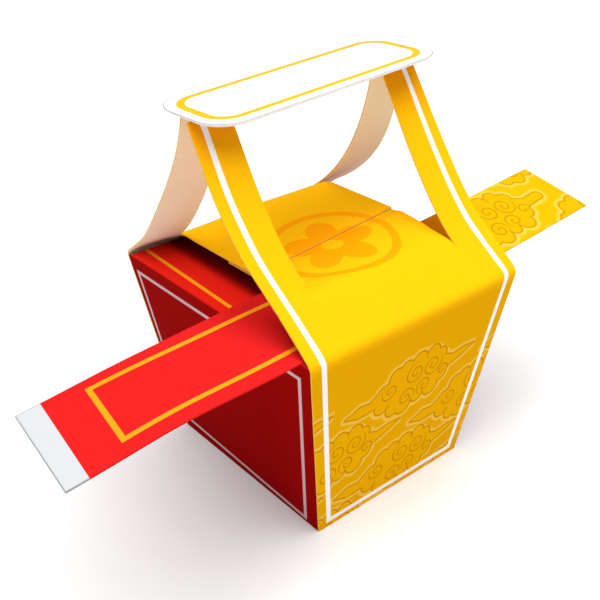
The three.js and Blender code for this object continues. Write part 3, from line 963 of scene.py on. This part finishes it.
# %% [markdown]
# ## Plate print
#
# A golden ring runs round the real plate, crossed by the slits, and a fine grey line marks the cut
# edge. The plate lies askew, so its print can't read the room's X and Y. It could have a UV map,
# but turning the place back by the plate's own slant is all that is needed.


# %% Plate print
RING_GOLD, RIM_LINE_GREY = (0.78, 0.45, 0.01, 1), (0.34, 0.335, 0.33, 1)
PLATE_GLOSS, PLATE_ROUGHNESS, PLATE_GRAIN = 0.05, 0.35, 0.15
RING_OUTER, RING_INNER, RING_SHIFT = (58, 17.9, 11.5), (54.4, 14.9, 8.5), 0.2


def outside_round_box(x, y, half_x, half_y, corner):
    """Distance outside a rectangle with round corners."""
    dx, dy = abs(x) - (half_x - corner), abs(y) - (half_y - corner)
    return dx.most(0).length(dy.most(0)) + dx.most(dy).least(0) - corner


ringed_white, surface, places = new_finish("upper_plate_white", PLATE_GLOSS)
centred = places.node(
    "ShaderNodeVectorMath", {"operation": "SUBTRACT"}, {0: places, 1: PLATE_CENTRE * MM}
)
turned = centred.node(
    "ShaderNodeVectorRotate", {"rotation_type": "EULER_XYZ", "invert": True},
    {"Vector": centred, "Rotation": PLATE_PLACE.to_euler()},
)
x, y, z = turned.parts(1000)
cut = outside_round_box(x, y, PLATE_LENGTH / 2, PLATE_WIDTH / 2, PLATE_CORNER).over(-0.5, 0.3)
# a fine grey line painted along the top of the rim, within half a millimetre of the outline
white = (cut * z.over(0.2, 0.1)).mix(PAPER_WHITE, RIM_LINE_GREY)
ring = outside_round_box(x + RING_SHIFT, y, *RING_OUTER).under(0)
ring = ring * outside_round_box(x + RING_SHIFT, y, *RING_INNER).over(0)
finish_board(surface, places, ring.mix(white, RING_GOLD), PLATE_ROUGHNESS, PLATE_GRAIN)
print(len(ringed_white.node_tree.nodes), "nodes in the plate print")

# %% Finish the plate
plain_white, surface, places = new_finish("lower_plate_white", PLATE_GLOSS)
finish_board(surface, places, PAPER_WHITE[:3], PLATE_ROUGHNESS, PLATE_GRAIN)
upper_plate.data.materials.append(ringed_white)
lower_plate.data.materials.append(plain_white)
finish_piece(upper_plate, "handle_plate")
finish_piece(lower_plate, "handle_under_plate")

# %% [markdown]
# ## Floor, light and camera
#
# The photograph is a studio packshot: a white floor without a horizon and one very large soft light
# overhead, a little towards the camera. Several area lamps could do it, but one sun with a wide
# angle lights every view alike, and a dim white surrounding fills the shadows.

# %% Floor
bpy.ops.object.select_all(action="DESELECT")
bpy.ops.mesh.primitive_plane_add(size=40)
floor = bpy.context.object
floor.name = "floor"
floor_white = plain_board(
    "floor_white", 3, (0.76, 0.76, 0.76, 1), (0.78, 0.78, 0.78, 1), detail=2, roughness=0.8, grain=0
)
floor.data.materials.append(floor_white)
print("floor", floor.dimensions.x, "m wide")

# %% Light
KEY_FROM, KEY_SOFTNESS, KEY_STRENGTH = Vector((-0.02, -0.2, 1)), math.radians(72), 4.2
SURROUND_STRENGTH = 0.3
world = bpy.data.worlds.new("studio")
world.use_nodes = True
world.node_tree.nodes["Background"].inputs[0].default_value = (1, 0.995, 0.99, 1)
world.node_tree.nodes["Background"].inputs[1].default_value = SURROUND_STRENGTH
bpy.context.scene.world = world
bpy.context.scene.view_settings.view_transform = "Standard"
bpy.ops.object.light_add(type="SUN", location=(0, 0, 2))
key = bpy.context.object
key.name = "key"
key.data.angle = KEY_SOFTNESS
key.data.energy = KEY_STRENGTH
key.rotation_euler = (-KEY_FROM).to_track_quat("-Z", "Y").to_euler()
print("the light comes from", tuple(round(v, 2) for v in KEY_FROM))

# %% Camera
AZIMUTH, ELEVATION, CAMERA_ROLL = math.radians(-39.77), math.radians(30.47), math.radians(-0.76)
TARGET, DISTANCE = Vector((4.14, 17.49, 60)), 435.22
PICTURE_PIXELS, FOCAL_PIXELS, SHIFT_PIXELS = 600, 884.04, 18.31
back = Vector((
    math.sin(AZIMUTH) * math.cos(ELEVATION), -math.cos(AZIMUTH) * math.cos(ELEVATION),
    math.sin(ELEVATION),
))
bpy.ops.object.camera_add(location=(TARGET + back * DISTANCE) * MM)
camera = bpy.context.object
turn = (-back).to_track_quat("-Z", "Y").to_matrix() @ Matrix.Rotation(CAMERA_ROLL, 3, "Z")
camera.rotation_euler = turn.to_euler()
camera.data.sensor_width = 36
camera.data.lens = FOCAL_PIXELS / PICTURE_PIXELS * camera.data.sensor_width
camera.data.shift_y = SHIFT_PIXELS / PICTURE_PIXELS
camera.data.clip_start, camera.data.clip_end = 0.01, 50
bpy.context.scene.camera = camera
print("camera at", tuple(round(c, 3) for c in camera.location))
